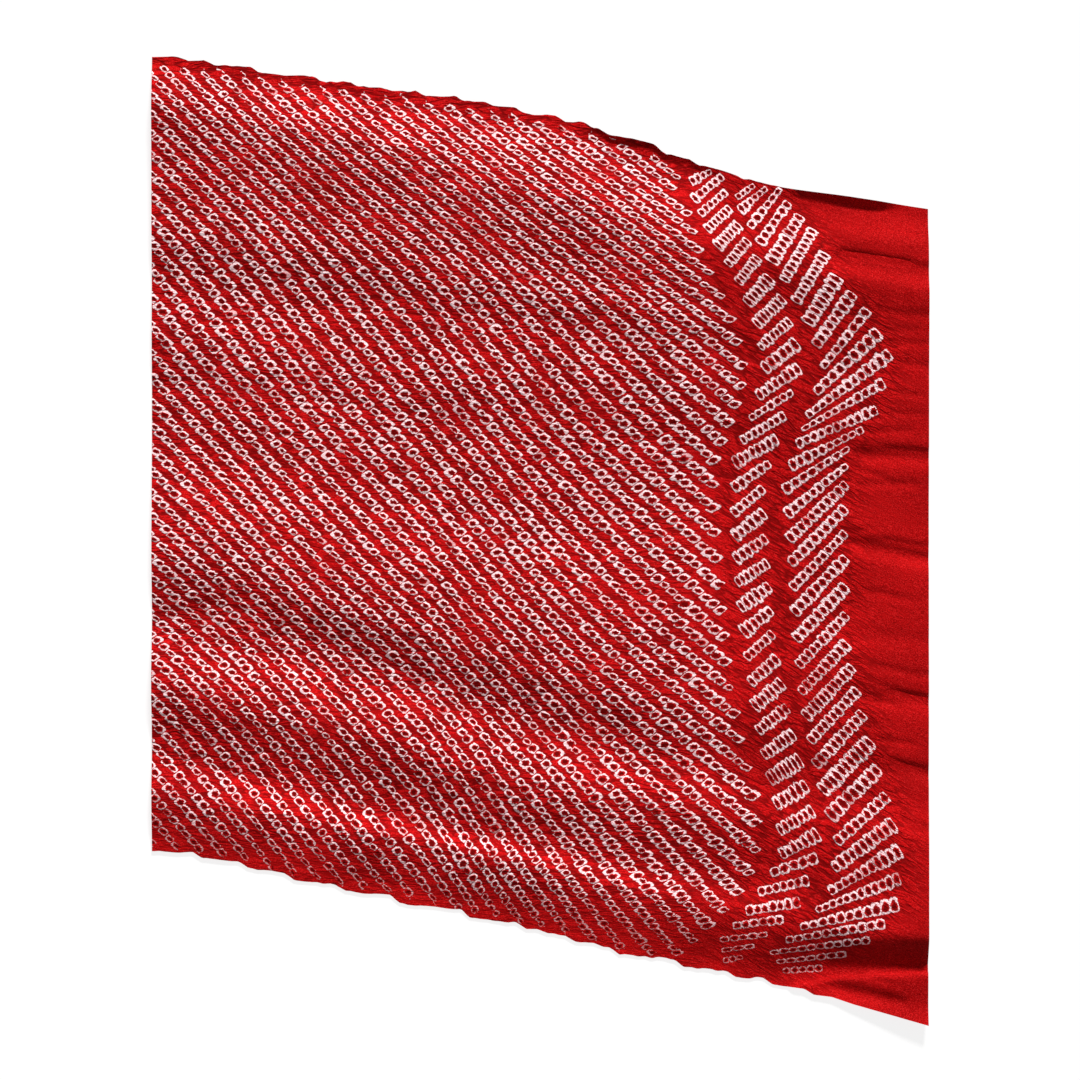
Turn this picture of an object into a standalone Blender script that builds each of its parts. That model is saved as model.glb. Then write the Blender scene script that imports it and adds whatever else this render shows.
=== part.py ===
# A cut length of a silk crepe obiage, tied and dyed in kanoko shibori, lying in soft folds.
# It is one piece of cloth: one thin sheet that rests on its hollows and stands up in its ridges.
# Metres, +Z up. +X runs along the cloth and +Y across it. The origin is the middle of the base.

from collections import namedtuple

import bmesh
import bpy
import numpy as np

MM = 0.001

# The sheet's size: the length between the two plain cuts, and the loft of the tied cloth
CUT_LENGTH = 272.0 * MM
CLOTH_THICKNESS = 1.8 * MM

# How many cells the sheet has along and across the cloth
CELLS_ALONG = 26
CELLS_ACROSS = 98

# The folds sink this far into the surface that the cloth lies on, and are flat there
REST_DEPTH = 0.3

PART_NAME = "shibori_obiage_cut_length"
CLOTH_NAME = "silk_crepe_cloth"

# The two long edges, in millimetres from the middle line, at even steps from the left cut
# to the right one. Shibori draws the cloth in unevenly, so neither edge is straight.
LONG_EDGE_TOP = (170.0, 166.3, 161.9, 158.2, 154.5, 149.3, 142.3, 132.1, 124.3, 120.2, 116.0)
LONG_EDGE_BOTTOM = (-108.3, -112.7, -119.5, -125.0, -131.1, -137.0, -144.0, -149.6, -155.2, -162.4, -170.0)

# The folds run from cut to cut. Each row is one line along the cloth, from the top edge down:
# across is its place and height its rise, in millimetres, at even steps from the left cut. The
# four lowest lines turn quickly, so they have nine steps, and the others have five. Where those
# four lie past the bottom edge, the slope above them runs out at the edge.
FoldLine = namedtuple("FoldLine", "name across height")
FOLD_LINES = (
    FoldLine("shoulder", (151.0, 138.5, 120.5, 98.0, 86.0), (6.2, 6.4, 7.4, 8.4, 9.8)),
    FoldLine("ledge", (111.0, 101.3, 90.1, 77.5, 70.0), (3.8, 4.0, 5.2, 6.6, 8.8)),
    FoldLine("upper hollow", (89.1, 81.0, 71.6, 62.1, 54.1), (1.2, 1.4, 2.4, 4.6, 7.6)),
    FoldLine("low rise", (73.3, 66.3, 57.6, 47.1, 38.3), (2.2, 2.2, 2.8, 4.4, 7.0)),
    FoldLine("middle hollow", (46.0, 36.0, 24.3, 13.8, 3.3), (-0.3, -0.4, -0.2, 1.8, 5.4)),
    FoldLine("brow", (-3.0, -22.9, -43.6, -61.4, -71.9), (4.8, 5.0, 4.8, 4.4, 5.8)),
    FoldLine("first trough", (-28.2, -43.2, -65.6, -82.4, -91.2), (0.0, 0.0, 0.4, 2.4, 6.4)),
    FoldLine("first ridge", (-49.9, -66.7, -86.6, -96.4, -106.0), (6.0, 6.2, 6.0, 5.4, 8.4)),
    FoldLine("second trough", (-73.7, -91.9, -108.0, -119.0, -120.0), (0.6, 0.6, 1.4, 3.4, 9.0)),
    FoldLine("second ridge", (-89.0, -101.0, -115.0, -130.0, -138.0), (5.2, 5.4, 5.6, 6.2, 8.8)),
    FoldLine(
        "lower trough",
        (-114.5, -120.5, -128.0, -135.5, -143.0, -151.0, -159.0, -152.2, -150.0),
        (-0.3, -0.3, -0.3, -0.3, -0.3, -0.3, -0.3, 0.0, 0.0),
    ),
    FoldLine(
        "lap",
        (-116.5, -122.5, -130.0, -137.5, -145.0, -153.0, -161.0, -154.4, -152.4),
        (0.0, 0.0, 0.0, 0.0, 0.0, 0.0, 0.2, 2.0, 2.6),
    ),
    FoldLine(
        "lap hollow",
        (-118.5, -124.5, -132.0, -139.5, -147.0, -155.0, -162.5, -159.0, -162.0),
        (0.0, 0.0, 0.0, 0.0, 0.0, 0.0, 0.3, 1.5, 1.8),
    ),
    FoldLine(
        "turned edge",
        (-120.5, -126.5, -134.0, -141.5, -149.0, -157.0, -164.5, -167.0, -176.0),
        (0.0, 0.0, 0.0, 0.0, 0.0, 0.0, 0.6, 3.4, 6.5),
    ),
)
TOP_EDGE_HEIGHT = (0.0, 0.0, 0.0, 0.0, 0.4)

# Wrinkles that fan out of the tied cloth into the plain end, in millimetres
Wrinkle = namedtuple("Wrinkle", "start_x start_y end_x end_y depth half_width")
WRINKLES = (
    Wrinkle(98.0, 108.0, 136.0, 103.5, -2.0, 4.5),
    Wrinkle(92.0, 99.5, 136.0, 92.0, 2.2, 3.3),
    Wrinkle(104.0, 30.5, 136.0, 28.5, 1.4, 2.8),
    Wrinkle(102.0, 0.5, 136.0, -7.0, 1.9, 3.2),
    Wrinkle(108.0, -33.0, 136.0, -35.5, 0.6, 3.2),
    Wrinkle(106.0, -54.0, 136.0, -57.5, 1.1, 3.0),
    Wrinkle(104.0, -78.0, 136.0, -82.5, 1.1, 3.0),
    Wrinkle(94.0, -154.5, 124.0, -162.0, 1.2, 2.6),
)
# Past its end a wrinkle fades out over this length, in millimetres
WRINKLE_TAIL = 8.0

# Two stretches where the top edge stands up in a short curl, in millimetres
EdgeCurl = namedtuple("EdgeCurl", "middle_x half_length height depth")
EDGE_CURLS = (
    EdgeCurl(41.0, 30.0, 2.3, 2.5),
    EdgeCurl(105.0, 24.0, 3.1, 3.4),
)

# Slow waves that keep the folds from being even: their lengths along and across, and their height
Wave = namedtuple("Wave", "along across height turn")
WAVES = (
    Wave(91.0, 143.0, 0.30, 0.4),
    Wave(57.0, -101.0, 0.22, 2.1),
    Wave(173.0, 47.0, 0.22, 4.0),
    Wave(38.0, 67.0, 0.12, 1.3),
)

# Dyed silk crepe
CLOTH_RED = (0.38, 0.006, 0.008, 1.0)
CLOTH_ROUGHNESS = 0.72


def smooth_curve(values, along):
    """Read a smooth curve through evenly spaced values. along runs from 0 to 1 over the cloth."""
    values = np.asarray(values, dtype=float)
    spans = len(values) - 1
    ends = (2 * values[0] - values[1], 2 * values[-1] - values[-2])
    padded = np.concatenate(([ends[0]], values, [ends[1]]))
    place = np.clip(along, 0.0, 1.0) * spans
    span = np.minimum(place.astype(int), spans - 1)
    t = place - span
    before, start, end, after = (padded[span + step] for step in range(4))
    start_slope = (end - before) / 2
    end_slope = (after - start) / 2
    return (
        start * (1 + 2 * t) * (1 - t) ** 2
        + start_slope * t * (1 - t) ** 2
        + end * t**2 * (3 - 2 * t)
        - end_slope * t**2 * (1 - t)
    )


def ease(t):
    """Go from 0 to 1 with level ends."""
    t = np.clip(t, 0.0, 1.0)
    return t * t * (3 - 2 * t)


def fold_height(along, y):
    """Height of the underside over the fold lines, in millimetres, before the small wrinkles."""
    lines = [(smooth_curve(LONG_EDGE_TOP, along), smooth_curve(TOP_EDGE_HEIGHT, along))]
    for line in FOLD_LINES:
        lines.append((smooth_curve(line.across, along), smooth_curve(line.height, along)))
    height = lines[0][1]
    for (upper_y, upper_z), (lower_y, lower_z) in zip(lines, lines[1:]):
        gap = np.maximum(upper_y - lower_y, 0.5)
        height = height + (lower_z - upper_z) * ease((upper_y - y) / gap)
    return height


def wrinkle_depth(x, y):
    """How far the wrinkles in the plain end sink below the folds, in millimetres."""
    depth = np.zeros_like(x)
    for wrinkle in WRINKLES:
        run = (x - wrinkle.start_x) / (wrinkle.end_x - wrinkle.start_x)
        middle = wrinkle.start_y + run * (wrinkle.end_y - wrinkle.start_y)
        fade = ease(run * 3.0) * ease((wrinkle.end_x + WRINKLE_TAIL - x) / WRINKLE_TAIL)
        depth += wrinkle.depth * fade * np.exp(-(((y - middle) / wrinkle.half_width) ** 2))
    return depth


def curl_height(x, y, top_edge):
    """How far the top edge curls up, in millimetres."""
    height = np.zeros_like(x)
    for curl in EDGE_CURLS:
        out = np.abs(x - curl.middle_x) / curl.half_length
        size = 0.5 + 0.5 * np.maximum(1 - out**2, 0.0)
        rise = curl.height * size * ease(2.0 * (1 - out))
        height += rise * np.clip(1 - (top_edge - y) / (curl.depth * size), 0.0, 1.0)
    return height


def wave_height(x, y):
    """The slow unevenness of the folds, in millimetres."""
    height = np.zeros_like(x)
    for wave in WAVES:
        height += wave.height * np.sin(2 * np.pi * (x / wave.along + y / wave.across) + wave.turn)
    return height


def place_on_cloth(along, across):
    """Turn places from 0 to 1 along and across the cloth into x, y and z, in millimetres."""
    top_edge = smooth_curve(LONG_EDGE_TOP, along)
    bottom_edge = smooth_curve(LONG_EDGE_BOTTOM, along)
    x = (along - 0.5) * CUT_LENGTH / MM
    y = bottom_edge + across * (top_edge - bottom_edge)
    height = fold_height(along, y) - wrinkle_depth(x, y) + curl_height(x, y, top_edge)
    standing = ease(height / 2.0)
    height = height + wave_height(x, y) * standing - REST_DEPTH
    return x, y, np.maximum(height, 0.0)


def clear_scene():
    """Remove what a new file starts with."""
    for item in list(bpy.data.objects):
        bpy.data.objects.remove(item, do_unlink=True)


def part_collection():
    """Make the collection that is named for the part."""
    collection = bpy.data.collections.new(PART_NAME)
    bpy.context.scene.collection.children.link(collection)
    return collection


def dyed_crepe():
    """Red silk crepe, as its plain ground is dyed."""
    material = bpy.data.materials.new("dyed_crepe")
    material.use_nodes = True
    shader = material.node_tree.nodes["Principled BSDF"]
    shader.inputs["Base Color"].default_value = CLOTH_RED
    shader.inputs["Roughness"].default_value = CLOTH_ROUGHNESS
    shader.inputs["Metallic"].default_value = 0.0
    return material


def cloth_sheet(collection):
    """Lay a grid over the folds, and give it the cloth's thickness upwards."""
    sheet = bmesh.new()
    bmesh.ops.create_grid(sheet, x_segments=CELLS_ALONG, y_segments=CELLS_ACROSS, size=0.5)
    flat = np.array([vert.co for vert in sheet.verts])
    x, y, z = place_on_cloth(flat[:, 0] + 0.5, flat[:, 1] + 0.5)
    for vert, place in zip(sheet.verts, np.column_stack((x, y, z)) * MM):
        vert.co = place
    mesh = bpy.data.meshes.new(CLOTH_NAME)
    sheet.to_mesh(mesh)
    sheet.free()
    mesh.shade_smooth()
    cloth = bpy.data.objects.new(CLOTH_NAME, mesh)
    collection.objects.link(cloth)
    thickness = cloth.modifiers.new("thickness", "SOLIDIFY")
    thickness.thickness = CLOTH_THICKNESS
    thickness.offset = 1.0
    cloth.data.materials.append(dyed_crepe())
    return cloth


def main():
    clear_scene()
    cloth_sheet(part_collection())


main()
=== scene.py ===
# %% [markdown]
# # A cut length of a kanoko obiage
# An obiage is the soft silk crepe cloth that is tucked in along the top of a kimono sash. This
# one is tied and dyed: thousands of small dots are bound with thread before the cloth goes into
# the red dye. Each dot comes out as a white ring round a red middle, and stands up a little.
# The scene holds one piece, the cloth. Its folds, puckers and dots are a real mesh, and the dye,
# the finest creases and the grain of the crepe are drawn on it by nodes, with painted shade in
# the creases and the dots and painted glints on the grain.

from collections import namedtuple

import bmesh
import bpy
import numpy as np
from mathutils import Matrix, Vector


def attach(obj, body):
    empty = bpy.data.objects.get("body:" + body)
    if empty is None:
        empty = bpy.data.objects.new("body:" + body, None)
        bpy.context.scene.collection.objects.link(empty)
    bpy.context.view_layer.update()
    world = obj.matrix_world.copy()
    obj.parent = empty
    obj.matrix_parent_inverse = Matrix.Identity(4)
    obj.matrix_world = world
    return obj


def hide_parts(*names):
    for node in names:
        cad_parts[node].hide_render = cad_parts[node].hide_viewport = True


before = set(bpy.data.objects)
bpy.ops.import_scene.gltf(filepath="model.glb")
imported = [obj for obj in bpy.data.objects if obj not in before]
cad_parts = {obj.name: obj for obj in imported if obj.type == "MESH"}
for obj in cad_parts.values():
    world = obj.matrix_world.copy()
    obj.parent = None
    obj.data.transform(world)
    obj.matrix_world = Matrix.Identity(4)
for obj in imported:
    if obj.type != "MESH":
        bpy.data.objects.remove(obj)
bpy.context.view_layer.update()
MM = 0.001
CLOTH = "silk_crepe_cloth"

# %% [markdown]
# ## The cloth's outline
# The cloth is woven straight, but the bound dots draw it in, so both long edges wander and are
# finely scalloped. A Bezier curve could trace them. A short table read as a smooth curve is
# easier to keep in step with the solid, which uses the same numbers. Lengths are millimetres
# here, and become metres when the mesh is placed.

# %% Read the long edges as smooth curves
CUT_LENGTH = 272.0
LONG_EDGE_TOP = (170.0, 166.3, 161.9, 158.2, 154.5, 149.3, 142.3, 132.1, 124.3, 120.2, 116.0)
LONG_EDGE_BOTTOM = (
    -108.3, -112.7, -119.5, -125.0, -131.1, -137.0, -144.0, -149.6, -155.2, -162.4, -170.0,
)


def smooth_curve(values, along):
    """Read a smooth curve through evenly spaced values. along runs from 0 to 1 over them."""
    values = np.asarray(values, dtype=float)
    spans = len(values) - 1
    ends = (2 * values[0] - values[1], 2 * values[-1] - values[-2])
    padded = np.concatenate(([ends[0]], values, [ends[1]]))
    place = np.clip(along, 0.0, 1.0) * spans
    span = np.minimum(place.astype(int), spans - 1)
    t = place - span
    before, start, end, after = (padded[span + step] for step in range(4))
    start_slope = (end - before) / 2
    end_slope = (after - start) / 2
    return (
        start * (1 + 2 * t) * (1 - t) ** 2
        + start_slope * t * (1 - t) ** 2
        + end * t**2 * (3 - 2 * t)
        - end_slope * t**2 * (1 - t)
    )


middle = np.array([0.5])
width_in_the_middle = smooth_curve(LONG_EDGE_TOP, middle) - smooth_curve(LONG_EDGE_BOTTOM, middle)
print("width across the middle, mm:", round(float(width_in_the_middle[0]), 1))

# %% [markdown]
# ## The folds
# The cloth lies in long soft folds that run from cut to cut. Cloth simulation would drape it
# somewhere near this, but not in these folds. So the height is lofted instead: each row of the
# table is one crest or hollow line, given by its place and its rise at even steps along the
# cloth, and an easing curve joins each line to the next. The four lowest lines turn quickly, so
# they have nine steps. Where they lie past the bottom edge, the slope runs out at the edge.

# %% Loft the height of the underside
FoldLine = namedtuple("FoldLine", "name across height")
FOLD_LINES = (
    FoldLine("shoulder", (151.0, 138.5, 120.5, 98.0, 86.0), (6.2, 6.4, 7.4, 8.4, 9.8)),
    FoldLine("ledge", (111.0, 101.3, 90.1, 77.5, 70.0), (3.8, 4.0, 5.2, 6.6, 8.8)),
    FoldLine("upper hollow", (89.1, 81.0, 71.6, 62.1, 54.1), (1.2, 1.4, 2.4, 4.6, 7.6)),
    FoldLine("low rise", (73.3, 66.3, 57.6, 47.1, 38.3), (2.2, 2.2, 2.8, 4.4, 7.0)),
    FoldLine("middle hollow", (46.0, 36.0, 24.3, 13.8, 3.3), (-0.3, -0.4, -0.2, 1.8, 5.4)),
    FoldLine("brow", (-3.0, -22.9, -43.6, -61.4, -71.9), (4.8, 5.0, 4.8, 4.4, 5.8)),
    FoldLine("first trough", (-28.2, -43.2, -65.6, -82.4, -91.2), (0.0, 0.0, 0.4, 2.4, 6.4)),
    FoldLine("first ridge", (-49.9, -66.7, -86.6, -96.4, -106.0), (6.0, 6.2, 6.0, 5.4, 8.4)),
    FoldLine("second trough", (-73.7, -91.9, -108.0, -119.0, -120.0), (0.6, 0.6, 1.4, 3.4, 9.0)),
    FoldLine("second ridge", (-89.0, -101.0, -115.0, -130.0, -138.0), (5.2, 5.4, 5.6, 6.2, 8.8)),
    FoldLine(
        "lower trough",
        (-114.5, -120.5, -128.0, -135.5, -143.0, -151.0, -159.0, -152.2, -150.0),
        (-0.3, -0.3, -0.3, -0.3, -0.3, -0.3, -0.3, 0.0, 0.0),
    ),
    FoldLine(
        "lap",
        (-116.5, -122.5, -130.0, -137.5, -145.0, -153.0, -161.0, -154.4, -152.4),
        (0.0, 0.0, 0.0, 0.0, 0.0, 0.0, 0.2, 2.0, 2.6),
    ),
    FoldLine(
        "lap hollow",
        (-118.5, -124.5, -132.0, -139.5, -147.0, -155.0, -162.5, -159.0, -162.0),
        (0.0, 0.0, 0.0, 0.0, 0.0, 0.0, 0.3, 1.5, 1.8),
    ),
    FoldLine(
        "turned edge",
        (-120.5, -126.5, -134.0, -141.5, -149.0, -157.0, -164.5, -167.0, -176.0),
        (0.0, 0.0, 0.0, 0.0, 0.0, 0.0, 0.6, 3.4, 6.5),
    ),
)
TOP_EDGE_HEIGHT = (0.0, 0.0, 0.0, 0.0, 0.4)
LEAST_GAP = 0.5


def ease(t):
    """Go from 0 to 1 with level ends."""
    t = np.clip(t, 0.0, 1.0)
    return t * t * (3 - 2 * t)


def fold_height(along, y):
    """Height over the fold lines, before the small wrinkles."""
    lines = [(smooth_curve(LONG_EDGE_TOP, along), smooth_curve(TOP_EDGE_HEIGHT, along))]
    for line in FOLD_LINES:
        lines.append((smooth_curve(line.across, along), smooth_curve(line.height, along)))
    height = lines[0][1]
    for (upper_y, upper_z), (lower_y, lower_z) in zip(lines, lines[1:]):
        gap = np.maximum(upper_y - lower_y, LEAST_GAP)
        height = height + (lower_z - upper_z) * ease((upper_y - y) / gap)
    return height


print("fold lines from cut to cut:", len(FOLD_LINES))

# %% [markdown]
# ## Wrinkles, curls and slow waves
# Where the tied cloth meets the plain end, the width that the dots took up is let out again,
# and it fans into small wrinkles. A sculpting brush would draw them one by one. The table does
# the same: a row is one straight trough with its depth and half width, which sinks in quickly
# beside the dots. The top edge also stands up in two short curls, creased along their foot.

# %% Add the wrinkles, the curled edge and the waves
Wrinkle = namedtuple("Wrinkle", "start_x start_y end_x end_y depth half_width")
LARGE_WRINKLES = (
    Wrinkle(98.0, 108.0, 136.0, 103.5, -2.0, 4.5),
    Wrinkle(92.0, 99.5, 136.0, 92.0, 2.2, 3.3),
    Wrinkle(104.0, 30.5, 136.0, 28.5, 1.4, 2.8),
    Wrinkle(102.0, 0.5, 136.0, -7.0, 1.9, 3.2),
    Wrinkle(108.0, -33.0, 136.0, -35.5, 0.6, 3.2),
    Wrinkle(106.0, -54.0, 136.0, -57.5, 1.1, 3.0),
    Wrinkle(104.0, -78.0, 136.0, -82.5, 1.1, 3.0),
    Wrinkle(94.0, -154.5, 124.0, -162.0, 1.2, 2.6),
)
SMALL_WRINKLES = (
    Wrinkle(101.0, 101.5, 136.0, 95.0, 0.7, 1.4),
    Wrinkle(112.0, 80.0, 136.0, 79.0, 0.4, 1.3),
    Wrinkle(119.0, 77.5, 136.0, 77.5, 0.3, 1.1),
    Wrinkle(118.0, 73.5, 128.0, 73.5, 0.3, 1.1),
    Wrinkle(119.0, 68.5, 136.0, 68.5, 0.4, 1.4),
    Wrinkle(121.0, 63.0, 133.0, 61.0, 0.4, 1.2),
    Wrinkle(121.0, 52.0, 132.0, 50.5, 0.4, 1.2),
    Wrinkle(118.0, 44.5, 130.0, 44.0, 0.3, 1.1),
    Wrinkle(112.0, 37.5, 126.0, 38.0, 0.5, 1.2),
    Wrinkle(109.0, 25.0, 118.0, 22.5, 0.4, 1.2),
    Wrinkle(108.0, 19.5, 128.0, 19.5, 0.5, 1.4),
    Wrinkle(108.0, 2.5, 114.0, 3.5, 0.4, 1.1),
    Wrinkle(107.0, -4.5, 116.0, -4.5, 0.3, 1.1),
    Wrinkle(111.0, -17.0, 127.0, -20.5, 0.5, 1.3),
    Wrinkle(110.0, -42.5, 136.0, -48.0, 0.5, 1.5),
    Wrinkle(114.0, -49.0, 136.0, -57.0, 0.5, 1.5),
    Wrinkle(111.0, -55.0, 122.0, -57.5, 0.4, 1.2),
    Wrinkle(116.0, -69.5, 128.0, -71.0, 0.5, 1.3),
    Wrinkle(117.0, -74.5, 136.0, -82.0, 0.5, 1.4),
    Wrinkle(122.0, -95.0, 136.0, -101.5, 0.6, 1.6),
    Wrinkle(127.0, -99.0, 136.0, -103.5, 0.5, 1.2),
    Wrinkle(118.0, 32.5, 136.0, 31.0, 0.5, 1.0),
    Wrinkle(116.0, 1.0, 136.0, -2.5, 0.5, 1.0),
    Wrinkle(118.0, -53.0, 136.0, -55.0, 0.5, 1.0),
    Wrinkle(118.0, -77.0, 136.0, -80.0, 0.4, 1.0),
    Wrinkle(100.0, 101.0, 126.0, 97.5, 0.7, 1.1),
    Wrinkle(108.0, -151.5, 122.0, -155.0, 0.3, 1.0),
)
EdgeCurl = namedtuple("EdgeCurl", "middle_x half_length height depth")
EDGE_CURLS = (
    EdgeCurl(41.0, 30.0, 2.3, 2.5),
    EdgeCurl(105.0, 24.0, 3.1, 3.4),
)
Wave = namedtuple("Wave", "along across height turn")
WAVES = (
    Wave(91.0, 143.0, 0.30, 0.4),
    Wave(57.0, -101.0, 0.22, 2.1),
    Wave(173.0, 47.0, 0.22, 4.0),
    Wave(38.0, 67.0, 0.12, 1.3),
)
WRINKLE_SINKS_IN = 3.0
WRINKLE_FADES_OVER = 8.0


def wrinkle_depth(wrinkles, x, y):
    """How far the wrinkles sink below the folds."""
    depth = np.zeros_like(x)
    for wrinkle in wrinkles:
        run = (x - wrinkle.start_x) / (wrinkle.end_x - wrinkle.start_x)
        middle_y = wrinkle.start_y + run * (wrinkle.end_y - wrinkle.start_y)
        past_end = x - wrinkle.end_x
        fade = ease(run * WRINKLE_SINKS_IN)
        fade = fade * ease((WRINKLE_FADES_OVER - past_end) / WRINKLE_FADES_OVER)
        depth += wrinkle.depth * fade * np.exp(-(((y - middle_y) / wrinkle.half_width) ** 2))
    return depth


def curl_height(x, y, top_edge):
    """How far the top edge curls up."""
    height = np.zeros_like(x)
    for curl in EDGE_CURLS:
        out = np.abs(x - curl.middle_x) / curl.half_length
        size = 0.5 + 0.5 * np.maximum(1 - out**2, 0.0)
        rise = curl.height * size * ease(2.0 * (1 - out))
        height += rise * np.clip(1 - (top_edge - y) / (curl.depth * size), 0.0, 1.0)
    return height


def wave_height(x, y):
    """The slow unevenness of the folds."""
    height = np.zeros_like(x)
    for wave in WAVES:
        height += wave.height * np.sin(2 * np.pi * (x / wave.along + y / wave.across) + wave.turn)
    return height


print("wrinkles in the plain end:", len(LARGE_WRINKLES) + len(SMALL_WRINKLES))

# %% [markdown]
# ## Unevenness
# Nothing tied by hand is regular. Blender has noise nodes, but a mesh needs its noise in
# numbers. This small function gives the same soft random surface on each run, because its
# random table is made from a fixed seed. It puckers the cloth and roughens its edges, which
# also run in small steps: the cloth is drawn in at each end of a row of dots.

# %% Place any point of the cloth
REST_DEPTH = 0.3
NOISE_CELLS = 257


def soft_noise(x, y, seed):
    """Smooth random values from -1 to 1 with features about one unit wide."""
    table = np.random.default_rng(seed).uniform(-1.0, 1.0, (NOISE_CELLS, NOISE_CELLS))
    column = np.floor(x).astype(int)
    row = np.floor(y).astype(int)
    right = ease(x - column)
    up = ease(y - row)
    corner = [
        [table[(column + i) % NOISE_CELLS, (row + j) % NOISE_CELLS] for j in (0, 1)]
        for i in (0, 1)
    ]
    low = corner[0][0] * (1 - right) + corner[1][0] * right
    high = corner[0][1] * (1 - right) + corner[1][1] * right
    return low * (1 - up) + high * up


TOP_STEPS = (
    -140.0, -125.0, -116.0, -99.6, -78.0, -64.6, -54.0, -41.8,
    -27.8, -18.0, -6.8, 7.2, 16.6, 22.0, 42.0, 54.0, 64.0,
)
BOTTOM_STEPS = (
    -140.0, -120.0, -104.0, -88.0, -70.0, -50.6, -26.0, -6.5,
    1.0, 10.5, 20.5, 26.3, 48.5, 66.7, 80.0, 94.3, 104.0,
)
STEP_SLOPE = 0.10
STEP_RUN = 1.7
LAST_STEP_RUN = 6.0
Scallop = namedtuple("Scallop", "height length")
BROAD_SCALLOP = Scallop(0.22, 5.5)
FINE_SCALLOP = Scallop(0.30, 2.3)
PLAIN_FROM = 92.0
SCALLOPS_FADE_OVER = 20.0
STANDING_ABOVE = 2.0
EDGE_SHARE = 0.02


def edge_steps(x, steps):
    """How far an edge strays as it runs nearly level to each step and then drops."""
    steps = np.array(steps)
    rise = STEP_SLOPE * np.diff(steps) / 2
    places = np.column_stack((steps[:-1] + STEP_RUN, steps[1:] - STEP_RUN)).ravel()
    strays = np.column_stack((-rise, rise)).ravel()
    return np.interp(x, np.append(places, steps[-1] + LAST_STEP_RUN), np.append(strays, 0.0))


def scallop(x, seed):
    """How far a long edge strays from its smooth curve where the cloth is tied."""
    line = np.zeros_like(x)
    stray = BROAD_SCALLOP.height * soft_noise(x / BROAD_SCALLOP.length, line, seed)
    stray = stray + FINE_SCALLOP.height * soft_noise(x / FINE_SCALLOP.length, line, seed + 1)
    return stray * ease((PLAIN_FROM - x) / SCALLOPS_FADE_OVER)


def place_on_cloth(along, across):
    """Turn places from 0 to 1 along and across the cloth into x, y and the underside's height."""
    top_edge = smooth_curve(LONG_EDGE_TOP, along)
    bottom_edge = smooth_curve(LONG_EDGE_BOTTOM, along)
    x = (along - 0.5) * CUT_LENGTH
    y = bottom_edge + across * (top_edge - bottom_edge)
    height = fold_height(along, y) - wrinkle_depth(LARGE_WRINKLES, x, y)
    height = height + curl_height(x, y, top_edge)
    standing = ease(height / STANDING_ABOVE)
    height = np.maximum(height + wave_height(x, y) * standing - REST_DEPTH, 0.0)
    top_stray = edge_steps(x, TOP_STEPS) + scallop(x, 11)
    bottom_stray = edge_steps(x, BOTTOM_STEPS) + scallop(x, 21)
    near_top = ease((across - (1 - EDGE_SHARE)) / EDGE_SHARE)
    near_bottom = ease((EDGE_SHARE - across) / EDGE_SHARE)
    y = y + top_stray * near_top + bottom_stray * near_bottom
    return x, y, height


steps = np.linspace(0.0, 1.0, 120)
heights = place_on_cloth(*np.meshgrid(steps, steps))[2]
print("folds rise to, mm:", round(float(heights.max()), 1))

# %% [markdown]
# ## Rows of dots in the field
# A maker marks the dots in slanting rows and ties them one after another. To draw them, each
# point of the cloth needs two numbers: which row it is in, and how many dots it is from the
# row's end. The rows bend with the cloth, so the first number is read from a small chart that
# counts rows down from the top edge at four stations. The second is measured along the slant,
# where the dots widen slowly to the right and crowd together at the lower right.

# %% Count rows and dots in the field
ROWS_ALONG_TOP = (0.0, -6.8, -13.5, -19.5, -23.9, -27.0)
TOP_CHART_LENGTH = 0.875
ROWS_DOWN = (
    (0.0, 7.8, 13.8, 20.8, 28.7, 35.3),
    (0.0, 9.9, 16.6, 23.5, 31.1, 37.3),
    (0.0, 10.6, 17.6, 24.3, 31.3, 36.7),
    (0.0, 10.4, 17.4, 24.0, 31.0, 36.5),
)
DOWN_CHART_LENGTH = 1.05
FIRST_ROW = 40
DOT_PITCH = 3.05
PITCH_GROWTH = 0.0011
PITCH_START = -216.0
CROWDED_BELOW = -88.0
CROWDED_FROM = -40.0
CROWDED_OVER = 50.0
CROWDING = 0.15
CROWDING_STARTS_OVER = 12.0
FIELD_END = (
    (46.5, 124.0), (52.5, 113.5), (57.0, 99.0), (67.5, 77.0), (72.0, 57.5), (69.5, 47.0),
    (62.0, 27.0), (62.0, 3.5), (64.0, -24.5), (67.5, -54.5), (71.5, -73.5), (76.0, -98.0),
    (76.0, -114.0), (68.5, -126.0), (57.0, -139.0), (49.0, -145.5),
)


def field_row(along, across):
    """Which row of the field a place is in, as a number that grows downwards."""
    down = np.array([smooth_curve(station, 1 - across) for station in ROWS_DOWN])
    place = np.clip(along / DOWN_CHART_LENGTH, 0, 1) * (len(ROWS_DOWN) - 1)
    station = np.minimum(place.astype(int), len(ROWS_DOWN) - 2)
    share = place - station
    here = np.take_along_axis(down, station[None], 0)[0]
    there = np.take_along_axis(down, station[None] + 1, 0)[0]
    start = smooth_curve(ROWS_ALONG_TOP, along / TOP_CHART_LENGTH)
    return FIRST_ROW + start + here + (there - here) * share


def field_dots(x, y):
    """How many dots lie between the first corner and a place, counted along the slant."""
    slant = (x - y) / np.sqrt(2) - PITCH_START
    widening = np.log1p(PITCH_GROWTH * slant / DOT_PITCH) / PITCH_GROWTH
    below = np.maximum(CROWDED_BELOW - y, 0.0) * ease((x - CROWDED_FROM) / CROWDED_OVER)
    return widening + CROWDING * below**2 / (below + CROWDING_STARTS_OVER)


def across_of(x, y):
    """Places along and across the cloth, from 0 to 1, of a point in millimetres."""
    along = x / CUT_LENGTH + 0.5
    top_edge = smooth_curve(LONG_EDGE_TOP, along)
    bottom_edge = smooth_curve(LONG_EDGE_BOTTOM, along)
    return along, (y - bottom_edge) / (top_edge - bottom_edge)


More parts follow.
